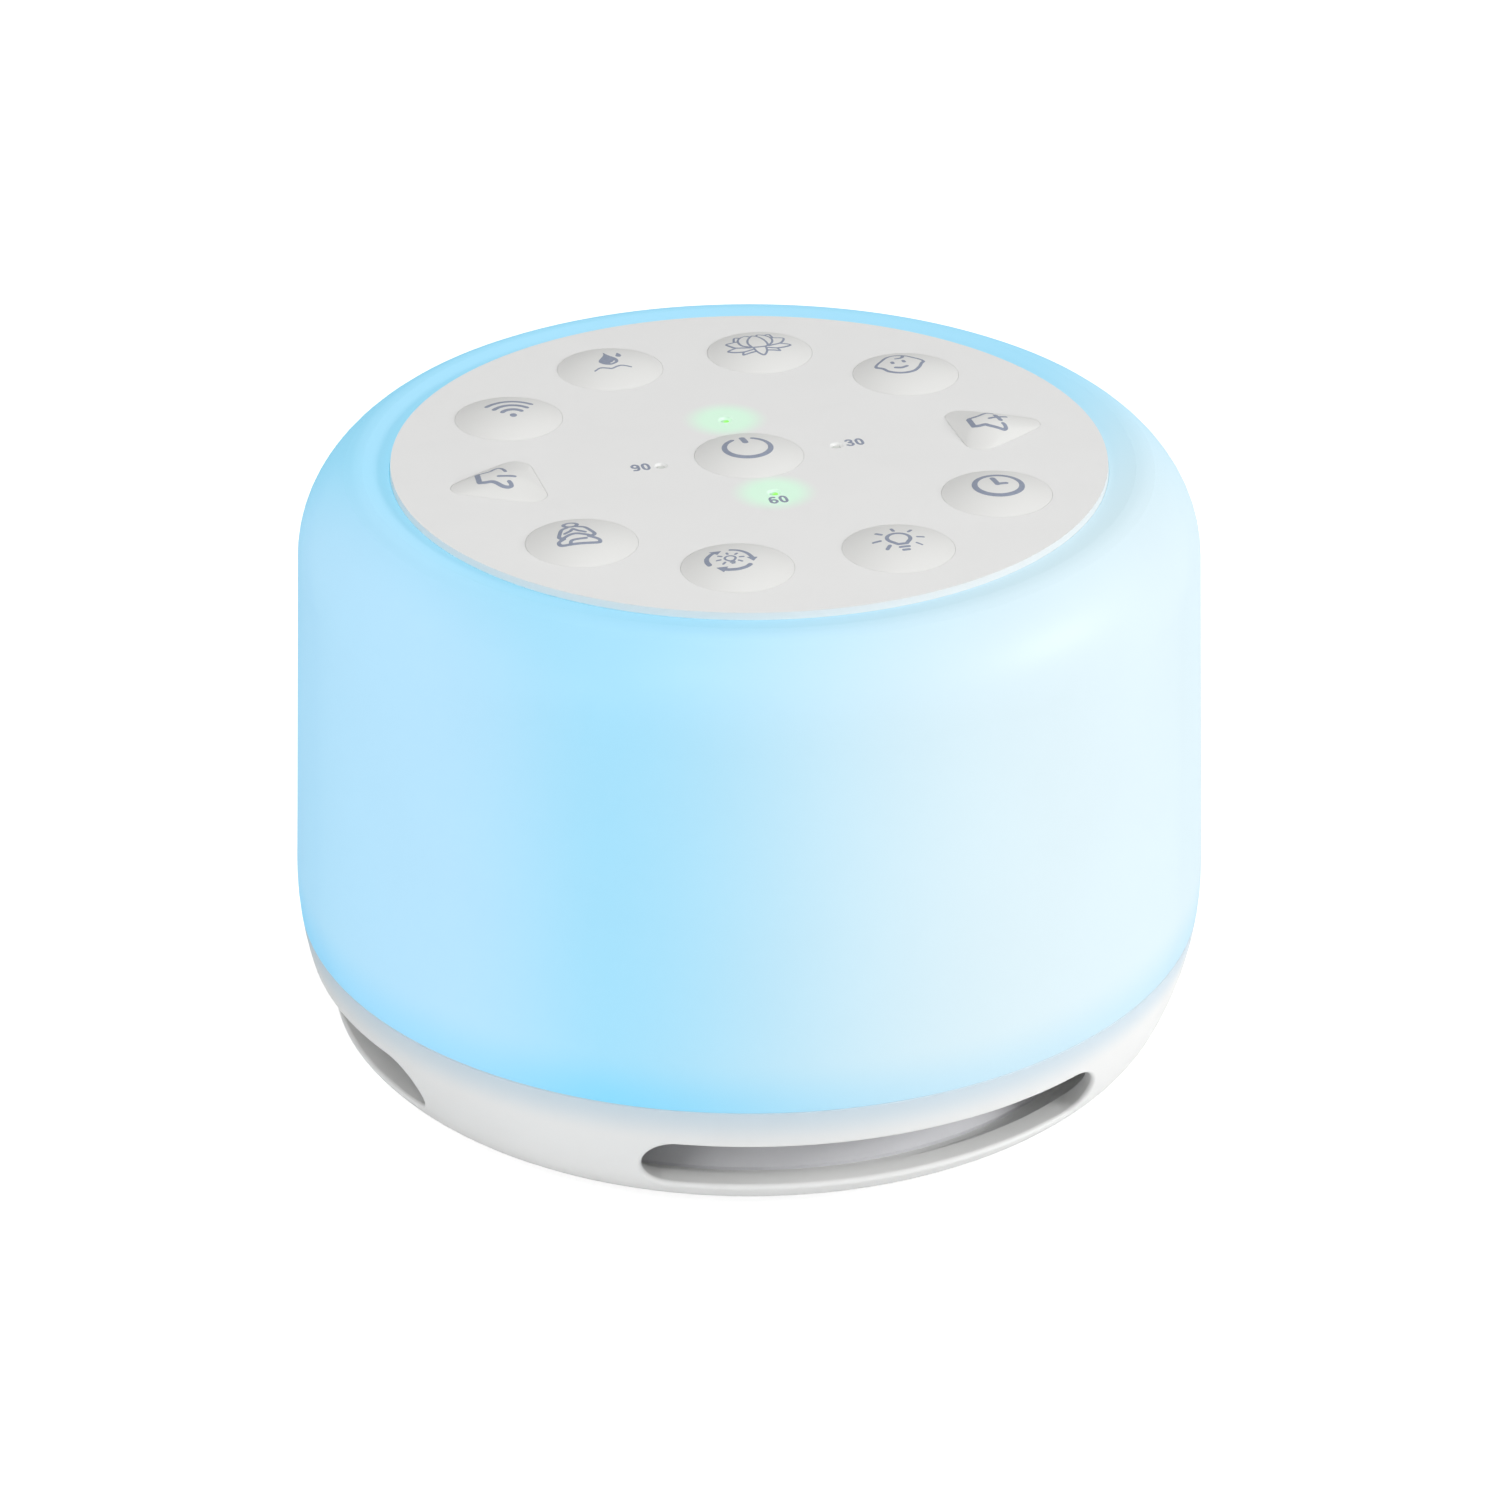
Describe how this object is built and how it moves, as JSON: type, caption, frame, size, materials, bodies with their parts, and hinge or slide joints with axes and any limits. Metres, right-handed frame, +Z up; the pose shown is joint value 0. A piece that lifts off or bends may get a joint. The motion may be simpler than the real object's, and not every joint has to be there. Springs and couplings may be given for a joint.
{
  "type": "white noise sound machine",
  "caption": "Round bedside sound machine: glowing frosted shade between a panel of domed push keys and a bowl base with long sound slots.",
  "frame": {"origin": "on the table under the middle of the machine", "axes": "+Z up along the axis of the round body; the front of the key panel faces -Y, +X to its right"},
  "size_m": [0.1078, 0.1078, 0.074],
  "materials": {
    "base_plastic": "fine moulded grain",
    "shade_plastic": "frosted translucent, lit pale blue from inside",
    "panel_plastic": "soft matte",
    "key_plastic": "soft matte with a printed grey-blue symbol",
    "light_pipe": "clear moulding",
    "board_laminate": "green solder mask",
    "lamp_laminate": "white solder mask",
    "black_plastic": "moulded",
    "led_resin": "clear resin",
    "screw_steel": "zinc plated",
    "white_plastic": "satin",
    "capacitor_can": "plain can",
    "connector_plastic": "moulded",
    "ribbon_film": "printed film",
    "foam": "closed-cell foam",
    "speaker_steel": "pressed steel",
    "magnet_ferrite": "sintered",
    "coil_copper": "enamelled wire on a paper tube",
    "speaker_paper": "pressed paper",
    "surround_rubber": "soft half roll",
    "spider_cloth": "resin-dipped cloth",
    "deflector_plastic": "satin",
    "foot_rubber": "soft",
    "lead_sheath": "soft vinyl"
  },
  "bodies": {
    "housing": {"base_bowl": "base_plastic", "diffuser_shade": "shade_plastic", "control_panel": "panel_plastic", "indicator_light_pipe": "light_pipe", "key_board": "board_laminate", "tact_switches": "black_plastic", "indicator_leds": "led_resin", "key_board_screws": "screw_steel", "chassis_deck": "white_plastic", "reflector_tower": "white_plastic", "main_board": "board_laminate", "board_chips": "black_plastic", "board_capacitors": "capacitor_can", "main_board_screws": "screw_steel", "ribbon_connectors": "connector_plastic", "ribbon_cable": "ribbon_film", "lamp_board": "lamp_laminate", "lamp_leds": "led_resin", "speaker_gasket": "foam", "speaker_frame": "speaker_steel", "speaker_magnet": "magnet_ferrite", "speaker_yoke": "speaker_steel", "speaker_surround": "surround_rubber", "speaker_spider": "spider_cloth", "speaker_screws": "screw_steel", "sound_deflector": "deflector_plastic", "power_inlet": "black_plastic", "rubber_feet": "foot_rubber", "base_screws": "screw_steel", "tower_screws": "screw_steel", "power_lead": "lead_sheath", "lamp_lead": "lead_sheath", "speaker_wires": "lead_sheath", "lead_plugs": "connector_plastic", "speaker_terminal": "connector_plastic"},
    "key_power_cap": {"key_power": "key_plastic"},
    "key_volume_up_cap": {"key_volume_up": "key_plastic"},
    "key_volume_down_cap": {"key_volume_down": "key_plastic"},
    "key_timer_cap": {"key_timer": "key_plastic"},
    "key_light_cap": {"key_light": "key_plastic"},
    "key_color_cycle_cap": {"key_color_cycle": "key_plastic"},
    "key_meditate_cap": {"key_meditate": "key_plastic"},
    "key_white_noise_cap": {"key_white_noise": "key_plastic"},
    "key_water_cap": {"key_water": "key_plastic"},
    "key_lotus_cap": {"key_lotus": "key_plastic"},
    "key_baby_cap": {"key_baby": "key_plastic"},
    "speaker_driver": {"speaker_cone": "speaker_paper", "speaker_dust_cap": "speaker_paper", "voice_coil": "coil_copper"}
  },
  "joints": [
    {"name": "key_power_press", "type": "slide", "parent": "housing", "child": "key_power_cap", "axis": [0, 0, -1], "range_m": [0, 0.0005], "stiffness_N_per_m": 800},
    {"name": "key_volume_up_press", "type": "slide", "parent": "housing", "child": "key_volume_up_cap", "axis": [0, 0, -1], "range_m": [0, 0.0005], "stiffness_N_per_m": 800},
    {"name": "key_volume_down_press", "type": "slide", "parent": "housing", "child": "key_volume_down_cap", "axis": [0, 0, -1], "range_m": [0, 0.0005], "stiffness_N_per_m": 800},
    {"name": "key_timer_press", "type": "slide", "parent": "housing", "child": "key_timer_cap", "axis": [0, 0, -1], "range_m": [0, 0.0005], "stiffness_N_per_m": 800},
    {"name": "key_light_press", "type": "slide", "parent": "housing", "child": "key_light_cap", "axis": [0, 0, -1], "range_m": [0, 0.0005], "stiffness_N_per_m": 800},
    {"name": "key_color_cycle_press", "type": "slide", "parent": "housing", "child": "key_color_cycle_cap", "axis": [0, 0, -1], "range_m": [0, 0.0005], "stiffness_N_per_m": 800},
    {"name": "key_meditate_press", "type": "slide", "parent": "housing", "child": "key_meditate_cap", "axis": [0, 0, -1], "range_m": [0, 0.0005], "stiffness_N_per_m": 800},
    {"name": "key_white_noise_press", "type": "slide", "parent": "housing", "child": "key_white_noise_cap", "axis": [0, 0, -1], "range_m": [0, 0.0005], "stiffness_N_per_m": 800},
    {"name": "key_water_press", "type": "slide", "parent": "housing", "child": "key_water_cap", "axis": [0, 0, -1], "range_m": [0, 0.0005], "stiffness_N_per_m": 800},
    {"name": "key_lotus_press", "type": "slide", "parent": "housing", "child": "key_lotus_cap", "axis": [0, 0, -1], "range_m": [0, 0.0005], "stiffness_N_per_m": 800},
    {"name": "key_baby_press", "type": "slide", "parent": "housing", "child": "key_baby_cap", "axis": [0, 0, -1], "range_m": [0, 0.0005], "stiffness_N_per_m": 800},
    {"name": "speaker_excursion", "type": "slide", "parent": "housing", "child": "speaker_driver", "axis": [0, 0, 1], "range_m": [-0.0005, 0.0005], "stiffness_N_per_m": 1500}
  ]
}
